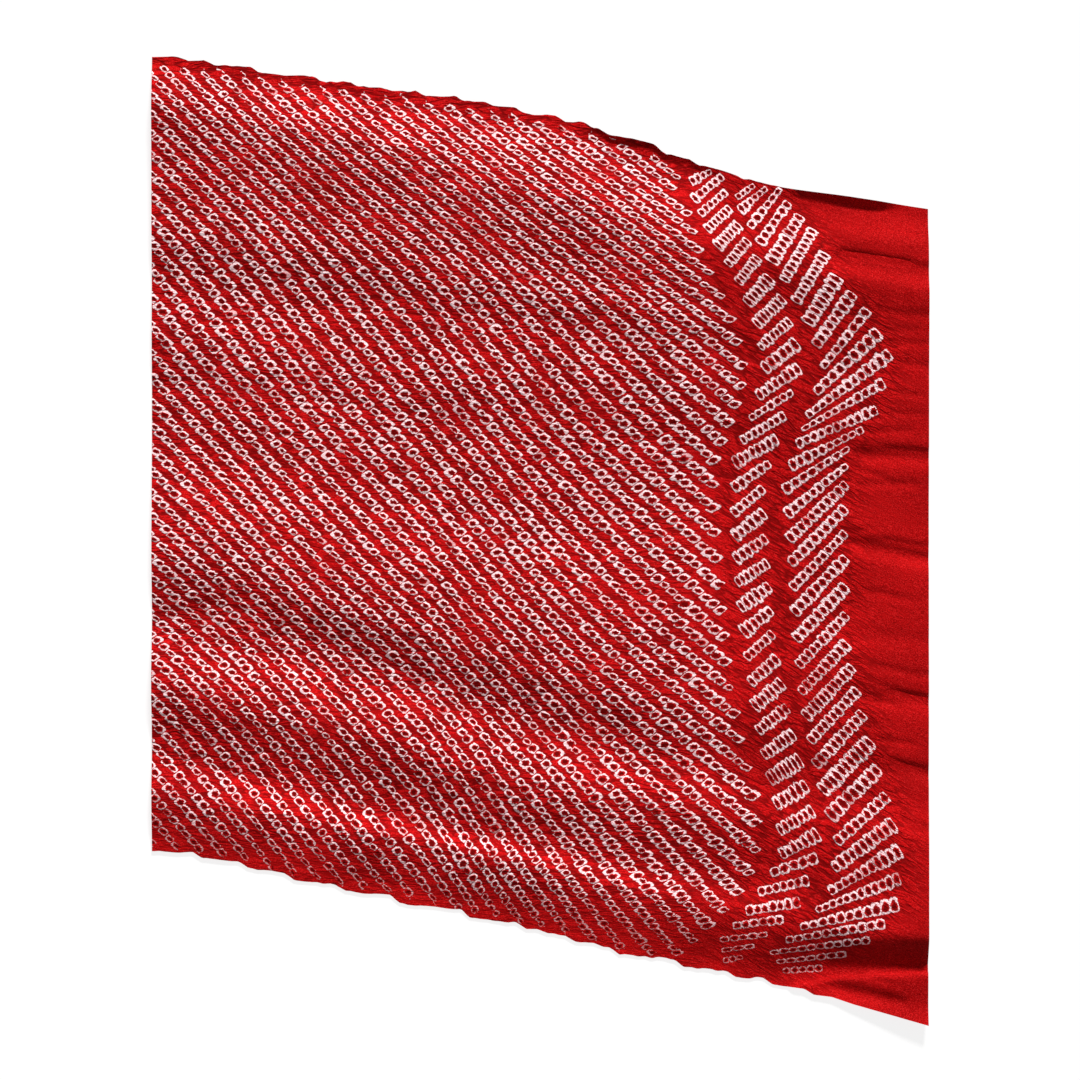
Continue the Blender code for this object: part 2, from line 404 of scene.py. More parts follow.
end_x, end_y = np.array(FIELD_END).T
end_rows = field_row(*across_of(end_x, end_y))
end_dots = field_dots(end_x, end_y)
print("field rows at its end:", np.round(end_rows, 1))

# %% [markdown]
# ## The stepped border
# Two columns of short rows close the field. Here the dots slant the other way and are tied as
# long ovals. Only every second or third row is charted, by its first and last dot and its
# number of dots, and the rows between are worked out.

# %% Chart the border's rows
RowGuide = namedtuple("RowGuide", "row start_x start_y end_x end_y dots")
INNER_COLUMN = (
    RowGuide(0, 52.7, 125.5, 60, 129.3, 4), RowGuide(1, 53.5, 119, 64, 128, 6),
    RowGuide(3, 58, 108.5, 66.5, 116.5, 7), RowGuide(6, 69, 90, 76, 99, 7),
    RowGuide(8, 75.5, 75, 85, 84.5, 8), RowGuide(10, 78, 59.5, 90, 69, 7),
    RowGuide(11, 76, 50, 91, 60, 7),
    RowGuide(14, 67.5, 27, 83, 35.5, 8), RowGuide(16, 67.5, 9, 78, 18.5, 6),
    RowGuide(19, 68.5, -15, 80, -8, 6), RowGuide(22, 72, -41.5, 81.5, -32.5, 6),
    RowGuide(25, 76, -67, 86.5, -58.5, 7), RowGuide(28, 82, -92.5, 93.5, -86, 7),
    RowGuide(30, 84.5, -111, 97.5, -103, 7), RowGuide(31, 80.5, -116.5, 97, -111, 6),
    RowGuide(33, 72, -130, 91, -127, 7), RowGuide(35, 63, -140, 79.5, -138, 5),
    RowGuide(37, 64, -147.5, 71, -146, 3),
)
OUTER_COLUMN = (
    RowGuide(0, 68.8, 119.9, 75.1, 124.4, 4), RowGuide(1, 69.5, 115.5, 79.5, 123.5, 6),
    RowGuide(2, 73.3, 109.4, 84.2, 123.4, 7), RowGuide(3, 76.5, 103.5, 87, 118.5, 7),
    RowGuide(5, 85, 90.5, 95.5, 109, 11), RowGuide(7, 93.5, 75.5, 104, 92, 10),
    RowGuide(9, 99, 60, 114.5, 80.5, 8), RowGuide(11, 93.5, 43, 122.5, 65, 12),
    RowGuide(13, 89.5, 34, 118, 45, 11), RowGuide(15, 85, 17.5, 108, 32.5, 9),
    RowGuide(17, 87, 0, 107, 20, 11), RowGuide(20, 88.5, -25.5, 107, -6, 10),
    RowGuide(23, 91, -53.5, 107.5, -36, 11), RowGuide(26, 96, -79, 113, -60.5, 11),
    RowGuide(29, 103.5, -106, 121.5, -89.5, 9), RowGuide(31, 101.5, -123.5, 126, -108.5, 12),
    RowGuide(33, 91, -135.5, 125.5, -128, 11), RowGuide(35, 80.5, -144.5, 115.5, -140, 11),
    RowGuide(37, 85, -151, 99, -150, 5),
)
DOTS_MORE_OR_LESS = 0.6


def every_row(guides):
    """Work out the start, the end and the number of dots of each row between the charted ones."""
    charted = [guide.row for guide in guides]
    rows = np.arange(charted[0], charted[-1] + 1)
    columns = [np.interp(rows, charted, [guide[k] for guide in guides]) for k in range(1, 6)]
    start = np.column_stack(columns[0:2])
    end = np.column_stack(columns[2:4])
    dots = np.round(columns[4] + DOTS_MORE_OR_LESS * np.sin(rows * 2.4))
    return rows, start, end, dots


print("border rows:", len(every_row(INNER_COLUMN)[0]), "and", len(every_row(OUTER_COLUMN)[0]))

# %% [markdown]
# ## From place to dot
# The pattern reaches the nodes as a UV map. Its first number counts dots along a row. Its
# second is how far a point is from its row's middle line, where half is the dot's own edge.
# A face lies in one row only, so the map may jump between rows, always in the plain red gap.
# Dots whose middle would fall too near a long edge are left out whole, as they are when tied.

# %% Give faces their row, and corners their place in it
FIELD_REACH = 0.295
FIELD_REACH_STRAY = 0.10
FIELD_REACH_PATCH = 24.0
BORDER_REACH = 0.35
BORDER_REACH_STRAY = 0.14
DOT_SLANT_STEP = 2.2
ROW_SLANT_STEP = 2.4
TOP_MARGIN = 3.1
BOTTOM_MARGIN = 1.6
NO_LIMIT = 999.0


def map_field(along, across, x, y, centre):
    """UV of corners, and row of faces, in the field. centre averages corners over a face."""
    row = field_row(along, across)
    face_row = np.round(centre(row))
    finish = np.interp(face_row, end_rows, end_dots)
    u = finish[:, None] - field_dots(x, y)
    narrower_left = 0.90 + 0.10 * ease((x + 100.0) / 140.0)
    patch = soft_noise(x / FIELD_REACH_PATCH, y / FIELD_REACH_PATCH, 51)
    reach = FIELD_REACH * narrower_left * (1 + FIELD_REACH_STRAY * patch)
    v = (row - face_row[:, None]) * 0.5 / reach
    face_u, face_v = centre(u), centre(v)
    back = (face_u - np.floor(face_u) - 0.5) * DOT_SLANT_STEP
    over = face_v * ROW_SLANT_STEP
    dot_x, dot_y = centre(x) + back + over, centre(y) - back + over
    dot_along = dot_x / CUT_LENGTH + 0.5
    from_top = smooth_curve(LONG_EDGE_TOP, dot_along) - dot_y
    from_bottom = dot_y - smooth_curve(LONG_EDGE_BOTTOM, dot_along)
    kept = (from_top > TOP_MARGIN) & (from_bottom > BOTTOM_MARGIN)
    return u, v, face_row, np.where(kept, NO_LIMIT, -NO_LIMIT)


def spacing(run, start, end, row, other, share):
    """Distance from a row to another one, square to it, at a share of its length."""
    def away(point):
        step = point[other] - point[row]
        return np.abs(run[row, 0] * step[..., 1] - run[row, 1] * step[..., 0])

    share = np.clip(share, 0.0, 1.0)
    return away(start) * (1 - share) + away(end) * share


def map_column(guides, x, y, centre):
    """The same in one column of the border, whose rows have counted dots."""
    rows, start, end, dots = every_row(guides)
    run = end - start
    length = np.hypot(run[:, 0], run[:, 1])
    run = run / length[:, None]
    reach = BORDER_REACH * (1.0 + BORDER_REACH_STRAY * np.sin(rows * 1.9 + len(rows)))

    def offset(k, px, py):
        """Places along row k, in its own lengths, and off it, in its spacing there."""
        from_start = (px - start[k, 0], py - start[k, 1])
        share = (run[k, 0] * from_start[0] + run[k, 1] * from_start[1]) / length[k]
        off = run[k, 0] * from_start[1] - run[k, 1] * from_start[0]
        above = spacing(run, start, end, k, np.maximum(k - 1, 0), share)
        below = spacing(run, start, end, k, np.minimum(k + 1, len(rows) - 1), share)
        gap_above = np.where(above > 0, above, below)
        gap_below = np.where(below > 0, below, above)
        return share, off / np.where(off > 0, gap_above, gap_below)

    face_x, face_y = centre(x), centre(y)
    away = [np.abs(offset(np.full(len(face_x), k), face_x, face_y)[1]) for k in range(len(rows))]
    k = np.argmin(away, axis=0)
    share, off = offset(k[:, None], x, y)
    u = share * dots[k][:, None]
    v = off * 0.5 / reach[k][:, None]
    return u, v, rows[k].astype(float), dots[k]


def column_sides(guides, which):
    """Heights and places across of one side of a column, for splitting the cloth into zones."""
    rows, start, end, dots = every_row(guides)
    side = start if which == "start" else end
    order = np.argsort(side[:, 1])
    return side[order, 1], side[order, 0]


def zone_of(x, y):
    """0 in the field, 1 in the border's inner column, 2 from its outer column to the cut."""
    field_side = np.interp(-y, -end_y, end_x)
    inner_start = np.interp(y, *column_sides(INNER_COLUMN, "start"))
    inner_end = np.interp(y, *column_sides(INNER_COLUMN, "end"))
    outer_start = np.interp(y, *column_sides(OUTER_COLUMN, "start"))
    zone = (x > (field_side + inner_start) / 2).astype(int)
    return zone + (x > (inner_end + outer_start) / 2)


print("zone at the middle of the cloth:", zone_of(np.array([0.0]), np.array([0.0])))

# %% [markdown]
# ## Dots that stand up
# Each dot was gathered over a fingertip and bound, so it keeps a small dome. Thousands of
# separate domes would look stuck on. One dense sheet, pushed up under each dot, is one cloth
# as the real one is. A raised cosine is used because it stays smooth on a coarse grid.

# %% Raise the dots and pucker the cloth between them
DOME_HEIGHT = 0.50
PUCKER_HEIGHT = 0.17
CLOTH_THICKNESS = 0.55
WEFT_TURN = -0.08
BORDER_TURN = -0.55
BORDER_FROM = 46.0
BORDER_FULL_FROM = 70.0


def dome_height(u, v, row, dots):
    """How far a dot lifts the cloth at a place."""
    inside = (u > 0) & (u < dots)
    number = np.floor(u)
    luck = np.sin(number * 12.9 + row * 78.2) * 0.5
    p = (u - number - 0.5) * 2
    q = v * 2
    away = np.sqrt(p * p + q * q)
    dome = 0.5 + 0.5 * np.cos(np.pi * np.clip(away, 0, 1))
    return inside * dome * (0.85 + 0.3 * luck)


def creased(x, y, turn):
    """Soft creases that run at an angle, in radians, to the length of the cloth."""
    run = x * np.cos(turn) + y * np.sin(turn)
    over = y * np.cos(turn) - x * np.sin(turn)
    short = soft_noise(run / 6.0, over / 2.1, 31)
    long = soft_noise(run / 13.0, over / 4.6, 41)
    return 0.6 * short + 0.4 * long


def pucker(x, y):
    """Creases between the bound dots: along the weft in the field, slanting in the border."""
    in_border = ease((x - BORDER_FROM) / (BORDER_FULL_FROM - BORDER_FROM))
    return creased(x, y, WEFT_TURN) * (1 - in_border) + creased(x, y, BORDER_TURN) * in_border


print("a dot stands up by, mm:", DOME_HEIGHT)

# %% [markdown]
# ## One closed sheet
# A grid is the natural start for cloth. Solidify would double a dense grid, and the underside
# needs no such detail, so a second, coarser grid makes the underside, and bridge_loops joins
# the two rims. That keeps the sheet closed and within its budget of triangles. Dots are tied
# more loosely in small patches and near the bottom edge, and stand up less there.

# %% Lay the dotted grid
TOP_CELLS = (288, 312)
UNDER_CELLS = (72, 78)
DENSE_SHARE = 0.924
DENSE_LENGTH = 0.886
UNDER_INSET = 0.0012
INNER_ROWS_FROM = 100.0
OUTER_ROWS_FROM = 200.0
EDGE_LOOSE_OVER = 21.0
EDGE_LOOSE_FURTHER = 12.0
LOOSE_PATCH = 8.5
LOOSE_ABOVE = 0.32
LOOSE_RISE = 0.45
LOOSENESS = 0.38
LET_OUT = 0.8
LET_OUT_OVER = 16.0
LOWEST_TOP = 0.25


def lay_grid(sheet, cells):
    """Add a grid to the mesh and return its vertices with their places along and across."""
    made = bmesh.ops.create_grid(sheet, x_segments=cells[0], y_segments=cells[1], size=0.5)["verts"]
    flat = np.array([vert.co for vert in made]) + 0.5
    along = np.interp(flat[:, 0], (0.0, DENSE_SHARE, 1.0), (0.0, DENSE_LENGTH, 1.0))
    return made, along, flat[:, 1]


def corner_mean(values):
    return values.mean(axis=1)


def pattern_at(along, across, x, y, centre):
    """UV, row and number of dots over the cloth: each zone's own, picked by the face's middle."""
    field = map_field(along, across, x, y, centre)
    inner = map_column(INNER_COLUMN, x, y, centre)
    outer = map_column(OUTER_COLUMN, x, y, centre)
    zone = zone_of(centre(x), centre(y))
    u = np.choose(zone[:, None], [field[0], inner[0], outer[0]])
    v = np.choose(zone[:, None], [field[1], inner[1], outer[1]])
    row = np.choose(zone, [field[2], inner[2] + INNER_ROWS_FROM, outer[2] + OUTER_ROWS_FROM])
    dots = np.choose(zone, [field[3], inner[3], outer[3]])
    return u, v, row, dots, zone


def tied_share(along, x, y):
    """1 where dots are tied well, less in loose patches and towards the bottom edge."""
    edge = smooth_curve(LONG_EDGE_BOTTOM, along)
    over = EDGE_LOOSE_OVER + EDGE_LOOSE_FURTHER * ease((x + 10.0) / 60.0)
    patch = soft_noise(x / LOOSE_PATCH, y / LOOSE_PATCH, 61)
    loose = ease((patch - LOOSE_ABOVE) / LOOSE_RISE)
    return ease((y - edge + 2.0) / over) * (1 - LOOSENESS * loose)


sheet = bmesh.new()
top_verts, top_along, top_across = lay_grid(sheet, TOP_CELLS)
x, y, z = place_on_cloth(top_along, top_across)
own = (top_along[:, None], top_across[:, None], x[:, None], y[:, None])
u, v, row, dots, zone = pattern_at(*own, corner_mean)
tied = tied_share(top_along, x, y)
dome = DOME_HEIGHT * tied * dome_height(u[:, 0], v[:, 0], row, dots)
outer_side = np.interp(y, *column_sides(OUTER_COLUMN, "end"))
pinched = 1 - LET_OUT * ease((x - outer_side + 2.0) / LET_OUT_OVER)
relief = dome + PUCKER_HEIGHT * pinched * pucker(x, y) - wrinkle_depth(SMALL_WRINKLES, x, y)
top_z = np.maximum(z + CLOTH_THICKNESS + relief, LOWEST_TOP)
for vert, place in zip(top_verts, np.column_stack((x, y, top_z)) * MM):
    vert.co = place
print("top grid:", len(top_verts), "points")

# %% Close the sheet
top_rim = [edge for edge in sheet.edges if edge.is_boundary]
under_verts, under_along, under_across = lay_grid(sheet, UNDER_CELLS)
inset_along = UNDER_INSET + under_along * (1 - 2 * UNDER_INSET)
inset_across = UNDER_INSET + under_across * (1 - 2 * UNDER_INSET)
under_places = np.column_stack(place_on_cloth(inset_along, inset_across))
for vert, place in zip(under_verts, under_places * MM):
    vert.co = place
rim = set(top_rim)
under_rim = [edge for edge in sheet.edges if edge.is_boundary and edge not in rim]
bmesh.ops.bridge_loops(sheet, edges=top_rim + under_rim)
bmesh.ops.recalc_face_normals(sheet, faces=sheet.faces)
open_edges = [edge for edge in sheet.edges if len(edge.link_faces) != 2]
print("faces:", len(sheet.faces), "open edges:", len(open_edges))
print("volume, mm3:", round(sheet.calc_volume() * 1e9))

# %% [markdown]
# ## The map on the mesh
# The UV map and three face attributes carry the chart to the nodes: the row's number, how many
# dots it has, and how wide a dot's white wall is. Two more attributes, kept at the points, say
# how well the dots are tied and how tightly the cloth is pinched. Attributes are better than
# images here, because they are exact at any distance.

# %% Write the mesh, its map and its attributes
FIELD_WALL = 0.300
BORDER_WALL = 0.280
OFF_THE_CHART = -5.0
UNDERSIDE_SHARE = 0.5
SHARP_FROM = 1.05
cloth_mesh = bpy.data.meshes.new("kanoko_cloth")
sheet.to_mesh(cloth_mesh)
sheet.free()
cloth_mesh.shade_smooth()
cloth_mesh.set_sharp_from_angle(angle=SHARP_FROM)

loop_vert = np.zeros(len(cloth_mesh.loops), dtype=int)
cloth_mesh.loops.foreach_get("vertex_index", loop_vert)
starts = np.zeros(len(cloth_mesh.polygons), dtype=int)
cloth_mesh.polygons.foreach_get("loop_start", starts)
top_faces = np.flatnonzero(np.maximum.reduceat(loop_vert, starts) < len(top_verts))
top_loops = starts[top_faces][:, None] + np.arange(4)
corners = loop_vert[top_loops]
own = (top_along[corners], top_across[corners], x[corners], y[corners])
u, v, row, dots, zone = pattern_at(*own, corner_mean)

uv = np.full((len(loop_vert), 2), OFF_THE_CHART)
uv[top_loops] = np.stack((u, v), axis=-1)
rows_map = cloth_mesh.uv_layers.new(name="rows")
rows_map.uv.foreach_set("vector", uv.ravel())


def store(name, domain, count, places, values, elsewhere):
    """Store one number for each face or point: values at their places, and one elsewhere."""
    stored = np.full(count, elsewhere)
    stored[places] = values
    cloth_mesh.attributes.new(name, "FLOAT", domain).data.foreach_set("value", stored)


thinner_below = 0.72 + 0.28 * ease((corner_mean(y[corners]) + 90.0) / 120.0)
white_wall = np.where(zone > 0, BORDER_WALL, FIELD_WALL) * thinner_below
for name, values in (("row_number", row), ("dots_in_row", dots), ("white_wall", white_wall)):
    store(name, "FACE", len(cloth_mesh.polygons), top_faces, values, 0.0)
for name, values in (("tied", tied), ("pinched", pinched)):
    top_points = np.arange(len(top_verts))
    store(name, "POINT", len(cloth_mesh.vertices), top_points, values, UNDERSIDE_SHARE)
print("faces with the chart:", len(top_faces))

# %% [markdown]
# ## Small helpers for nodes
# Node trees are long when written out. These helpers add a node, set its sockets, and link
# whatever is another node's output, so that each effect below reads like a formula.

# %% Build nodes with less writing


def plug(tree, value, socket):
    """Link another node's output to a socket, or store a plain value in it."""
    if isinstance(value, bpy.types.NodeSocket):
        tree.links.new(value, socket)
    else:
        socket.default_value = value


def add_node(tree, kind, sockets, **settings):
    """Add a node with its settings, and fill the sockets that are named."""
    made = tree.nodes.new("ShaderNode" + kind)
    for name, value in settings.items():
        setattr(made, name, value)
    for name, value in sockets.items():
        plug(tree, value, made.inputs[name])
    return made


def calc(tree, operation, *terms):
    """A Math node."""
    made = tree.nodes.new("ShaderNodeMath")
    made.operation = operation
    for socket, term in zip(made.inputs, terms):
        plug(tree, term, socket)
    return made.outputs[0]


def ramp(tree, value, start, end, low=0.0, high=1.0):
    """Go softly from low to high while the value goes from start to end."""
    sockets = {"Value": value, "From Min": start, "From Max": end, "To Min": low, "To Max": high}
    return add_node(tree, "MapRange", sockets, interpolation_type="SMOOTHSTEP").outputs["Result"]


def blend_colours(tree, share, first, second):
    """A Mix node for two colours."""
    made = tree.nodes.new("ShaderNodeMix")
    made.data_type = "RGBA"
    sockets = (made.inputs[0], made.inputs[6], made.inputs[7])
    for socket, value in zip(sockets, (share, first, second)):
        plug(tree, value, socket)
    return made.outputs[2]


def new_group(name, inputs, outputs):
    """An empty node group with named inputs and outputs."""
    group = bpy.data.node_groups.new(name, "ShaderNodeTree")
    sides = [("INPUT", title, kind) for title, kind in inputs]
    sides += [("OUTPUT", title, "Float") for title in outputs]
    for side, title, kind in sides:
        group.interface.new_socket(name=title, in_out=side, socket_type="NodeSocket" + kind)
    given = group.nodes.new("NodeGroupInput").outputs
    result = group.nodes.new("NodeGroupOutput").inputs
    return group, given, result


print("helpers ready")

# %% [markdown]
# ## The tied dot
# A bound dot is a rounded square of white, as wide as the thread that covered it, with a red
# middle where the dye got in at the tip. No two are alike: each has its own size, some are
# faint where the thread was loose, and their outlines are rough. The group takes the map and
# gives masks and a height: a superellipse makes the square, White Noise makes each dot its own.
# Two of the masks are painted shade: one darkens the pit in the dot's middle, and one lays a thin
# painted shadow round its outline.

# %% The node group for tied dots
DOT_INPUTS = (
    ("Along Row", "Float"), ("Off Row", "Float"), ("Row Number", "Float"),
    ("Dots In Row", "Float"), ("White Wall", "Float"), ("Tied", "Float"), ("Lean", "Float"),
    ("Roughening", "Vector"),
)
BORDER_LOOSENESS = 0.45
PLACE_SPREAD = 0.16
LENGTH_SPREAD = 0.19
WIDTH_SPREAD = 0.28
HOLE_SPREAD = 0.14
HALF_LENGTH = 0.52
FIELD_SHORTER_BY = 0.03
HALF_WIDTH = 0.465
FIELD_HOLE_STRETCH = 0.08
OUTLINE_SQUARENESS = 3.8
HOLE_SQUARENESS = 1.75
HOLE_SOFTNESS = 0.06
HOLE_RAGGEDNESS = 3.0
# Painted shadow: where the thin dark ring round each dot lies, and how wide it is.
SHADOW_RING_AT = 1.14
SHADOW_RING_HALF_WIDTH = 0.14


def tied_dots_group():
    """White ring, painted shade in the pit, painted shadow round the outline, and height of the
    dots.
    """
    tree, given, result = new_group("tied dots", DOT_INPUTS, ("White", "Pit", "Outline Shade", "Height"))
    rough = add_node(tree, "SeparateXYZ", {"Vector": given["Roughening"]}).outputs
    number = calc(tree, "FLOOR", given["Along Row"])
    name = add_node(tree, "CombineXYZ", {"X": number, "Y": given["Row Number"]}).outputs[0]
    chance = add_node(tree, "TexWhiteNoise", {"Vector": name}, noise_dimensions="3D").outputs
    luck = add_node(tree, "SeparateXYZ", {"Vector": chance["Color"]}).outputs

    from_middle = calc(tree, "SUBTRACT", calc(tree, "SUBTRACT", given["Along Row"], number), 0.5)
    in_field = calc(tree, "LESS_THAN", given["Row Number"], INNER_ROWS_FROM)
    looser = 1 - BORDER_LOOSENESS
    looseness = calc(tree, "MULTIPLY_ADD", in_field, looser, BORDER_LOOSENESS)

    def chosen(luck_value, spread):
        """A random amount around zero, smaller in the border, which is tied more evenly."""
        around_zero = calc(tree, "SUBTRACT", luck_value, 0.5)
        return calc(tree, "MULTIPLY", calc(tree, "MULTIPLY", around_zero, looseness), spread)

    slipped = calc(tree, "ADD", from_middle, chosen(luck["X"], PLACE_SPREAD))
    p = calc(tree, "ADD", slipped, rough["X"])
    q = calc(tree, "ADD", given["Off Row"], rough["Y"])
    longer_tied = calc(tree, "MULTIPLY_ADD", given["Tied"], 0.12, 0.88)
    wider_tied = calc(tree, "MULTIPLY_ADD", given["Tied"], 0.30, 0.70)
    half_along = calc(tree, "MULTIPLY_ADD", in_field, -FIELD_SHORTER_BY, HALF_LENGTH)
    half_along = calc(tree, "ADD", chosen(luck["Y"], LENGTH_SPREAD), half_along)
    half_off = calc(tree, "ADD", chosen(luck["Z"], WIDTH_SPREAD), HALF_WIDTH)
    size_along = calc(tree, "MULTIPLY", half_along, longer_tied)
    size_off = calc(tree, "MULTIPLY", half_off, wider_tied)

    lean = calc(tree, "MULTIPLY", in_field, given["Lean"])
    leaned_p = calc(tree, "SUBTRACT", p, calc(tree, "MULTIPLY", lean, q))
    leaned_q = calc(tree, "SUBTRACT", q, calc(tree, "MULTIPLY", lean, p))

    def distance(shift_p, shift_q, stretch, power):
        """How far out a place is in a rounded square with a moved middle, 1 at its outline."""
        reach_p = calc(tree, "MULTIPLY", size_along, stretch)
        reach_q = calc(tree, "DIVIDE", size_off, stretch)
        out_p = calc(tree, "DIVIDE", calc(tree, "ADD", leaned_p, shift_p), reach_p)
        out_q = calc(tree, "DIVIDE", calc(tree, "ADD", leaned_q, shift_q), reach_q)
        out_p = calc(tree, "POWER", calc(tree, "ABSOLUTE", out_p), power)
        out_q = calc(tree, "POWER", calc(tree, "ABSOLUTE", out_q), power)
        return calc(tree, "POWER", calc(tree, "ADD", out_p, out_q), 1 / power)

    away = distance(0.0, 0.0, 1.0, OUTLINE_SQUARENESS)
    longer = calc(tree, "MULTIPLY_ADD", in_field, FIELD_HOLE_STRETCH, 1.0)
    hole_p = chosen(chance["Value"], HOLE_SPREAD)
    hole_q = chosen(luck["X"], HOLE_SPREAD)
    away_hole = distance(hole_p, hole_q, longer, HOLE_SQUARENESS)

    started = calc(tree, "GREATER_THAN", given["Along Row"], 0.0)
    unfinished = calc(tree, "LESS_THAN", given["Along Row"], given["Dots In Row"])
    there = calc(tree, "MULTIPLY", started, unfinished)
    own_width = calc(tree, "MULTIPLY_ADD", luck["X"], 0.5, 0.75)
    width = calc(tree, "MULTIPLY", given["White Wall"], own_width)
    width = calc(tree, "MULTIPLY", width, calc(tree, "MULTIPLY_ADD", given["Tied"], 0.60, 0.40))
    inner = calc(tree, "SUBTRACT", 1.0, width)
    hole_start = calc(tree, "SUBTRACT", inner, HOLE_SOFTNESS)
    hole_end = calc(tree, "ADD", inner, HOLE_SOFTNESS)
    ragged = calc(tree, "MULTIPLY_ADD", rough["Z"], HOLE_RAGGEDNESS, away_hole)
    body = ramp(tree, away, 0.94, 1.04, 1.0, 0.0)
    hole = ramp(tree, ragged, hole_start, hole_end, 1.0, 0.0)
    ring = calc(tree, "MULTIPLY", body, calc(tree, "SUBTRACT", 1.0, hole))
    fainter_loose = calc(tree, "MULTIPLY_ADD", given["Tied"], 0.62, 0.38)
    strength = ramp(tree, chance["Value"], 0.0, 0.05, 0.50, 1.0)
    strength = calc(tree, "MULTIPLY", strength, fainter_loose)
    white = calc(tree, "MULTIPLY", calc(tree, "MULTIPLY", ring, strength), there)
    plug(tree, white, result["White"])

    # Painted shade: the pit in each dot's middle is darkened in colour, on top of the small dent
    # below.
    pit = calc(tree, "MULTIPLY", ramp(tree, ragged, 0.34, 0.72, 1.0, 0.0), there)
    plug(tree, pit, result["Pit"])
    # Painted shadow: a thin dark ring just outside each dot's outline, in colour only.
    outline = calc(tree, "ABSOLUTE", calc(tree, "SUBTRACT", away, SHADOW_RING_AT))
    outline_shade = calc(tree, "MULTIPLY", ramp(tree, outline, 0.0, SHADOW_RING_HALF_WIDTH, 0.7, 0.0), there)
    plug(tree, outline_shade, result["Outline Shade"])

    lift = ramp(tree, away, 0.68, 1.12, 1.0, 0.0)
    dent = ramp(tree, ragged, 0.10, 0.62, 0.75, 0.0)
    plug(tree, calc(tree, "MULTIPLY", calc(tree, "SUBTRACT", lift, dent), there), result["Height"])
    return tree


tied_dots = tied_dots_group()
print("tied dots group:", len(tied_dots.nodes), "nodes")

# %% [markdown]
# ## The crepe
# Crepe is woven with hard-twisted weft, which gives its fine pebbled grain. Among the dots it
# is also pinched into many thin creases, along the weft in the field and slanting between the
# border's columns. Wave bands would look printed. Noise that is squeezed one way and stretched
# the other gives creases that start and stop. Its sizes are in millimetres.

# %% The node group for creases and grain
CREPE_INPUTS = (("Place", "Vector"), ("In Border", "Float"))
LONG_CREASES = (10.0, 2.2, 5.0)
SHORT_CREASES = (5.0, 1.2, 5.0)
SHORT_CREASES_TURN = 0.12
GRAIN_SIZE = (0.42, 0.30, 0.42)
DYE_PATCHES = (45.0, 25.0, 33.0)


def crepe_group():
    """Crease lines, grain and slow dye variation, all over the cloth's own coordinates."""
    tree, given, result = new_group("crepe", CREPE_INPUTS, ("Creases", "Grain", "Dye"))

    def stretched_noise(turn, sizes, detail, distortion):
        scale = [size * MM for size in sizes]
        sockets = {"Vector": given["Place"], "Rotation": (0.0, 0.0, turn), "Scale": scale}
        place = add_node(tree, "Mapping", sockets, vector_type="TEXTURE").outputs[0]
        sockets = {"Vector": place, "Scale": 1.0, "Detail": detail, "Distortion": distortion}
        return add_node(tree, "TexNoise", sockets).outputs[0]

    def valleys(noise, width):
        from_zero = calc(tree, "ABSOLUTE", calc(tree, "SUBTRACT", noise, 0.5))
        return ramp(tree, from_zero, 0.0, width, 1.0, 0.0)

    def crease_lines(turn):
        long_ones = valleys(stretched_noise(turn, LONG_CREASES, 2.0, 0.3), 0.10)
        short_turn = turn + SHORT_CREASES_TURN
        short_ones = valleys(stretched_noise(short_turn, SHORT_CREASES, 1.0, 0.25), 0.08)
        return calc(tree, "MAXIMUM", long_ones, calc(tree, "MULTIPLY", short_ones, 0.7))

    outside_border = calc(tree, "SUBTRACT", 1.0, given["In Border"])
    in_field = calc(tree, "MULTIPLY", crease_lines(WEFT_TURN), outside_border)
    creases = calc(tree, "MULTIPLY_ADD", crease_lines(BORDER_TURN), given["In Border"], in_field)
    plug(tree, creases, result["Creases"])
    plug(tree, stretched_noise(0.0, GRAIN_SIZE, 1.0, 0.0), result["Grain"])
    plug(tree, stretched_noise(0.3, DYE_PATCHES, 2.0, 0.0), result["Dye"])
    return tree


crepe = crepe_group()
print("crepe group:", len(crepe.nodes), "nodes")

# %% [markdown]
# ## The dyed cloth
# Silk crepe is matt, so the shader is rough and has little specular. Painted shade darkens the
# red in the creases, in each dot's middle and in a thin ring round each dot, and darkens the white
# rings in the creases. The grain speckles the red darker, and painted glints lighten the grain's
# peaks in place of highlights. The white is not pure: some dye creeps under the thread and tints
# it pink.

# %% Put the material together
DEEP_RED = (0.50, 0.0026, 0.0034, 1.0)
BRIGHT_RED = (0.69, 0.0048, 0.0060, 1.0)
# Painted shade: the dark red that the creases, each dot's pit and its outline blend towards; the
# grain and the plain end's deeper tone use it too.
SHADE_RED = (0.075, 0.0003, 0.0005, 1.0)
RING_SHADE = (0.50, 0.06, 0.07, 1.0)
GLINT_RED = (0.98, 0.045, 0.047, 1.0)
RING_WHITE = (1.0, 0.80, 0.83, 1.0)
RING_PINK = (1.0, 0.60, 0.62, 1.0)
CREASE_SHADE = 0.78
RING_CREASE_SHADE = 0.20
GRAIN_SHADE = 0.48
PLAIN_SHADE = 0.29
# How dark the painted shade in each dot's pit is.
PIT_SHADE = 0.88
ROUGHENING_SCALE = 1050.0
ROUGHENING = (0.38, 0.36, 0.24)
DOT_RELIEF = 0.12
CREASE_RELIEF = 0.24
GRAIN_RELIEF = 0.06


